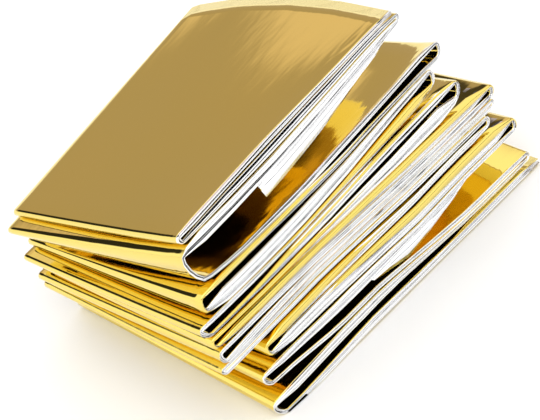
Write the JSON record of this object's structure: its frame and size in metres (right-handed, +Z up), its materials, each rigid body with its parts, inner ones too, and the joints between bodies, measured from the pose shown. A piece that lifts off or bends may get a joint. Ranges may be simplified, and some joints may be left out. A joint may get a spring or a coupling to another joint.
{
  "type": "emergency foil blanket",
  "caption": "Emergency foil blanket of thin gold and silver film, folded lengthwise and then to and fro into a loose, fanned stack with its near side sprung open.",
  "frame": {"origin": "on the ground under the middle of the bounding box", "axes": "+X along the panels toward the side of the open ends, -Y toward the side where the layers have sprung apart, +Z up from the panel that lies flat"},
  "size_m": [0.13, 0.089, 0.0875],
  "materials": {
    "gold_film": "thin metallised film, gold on the outer faces of the folds and silver on the other side"
  },
  "bodies": {
    "root": {"foil_blanket": "gold_film"}
  },
  "joints": []
}
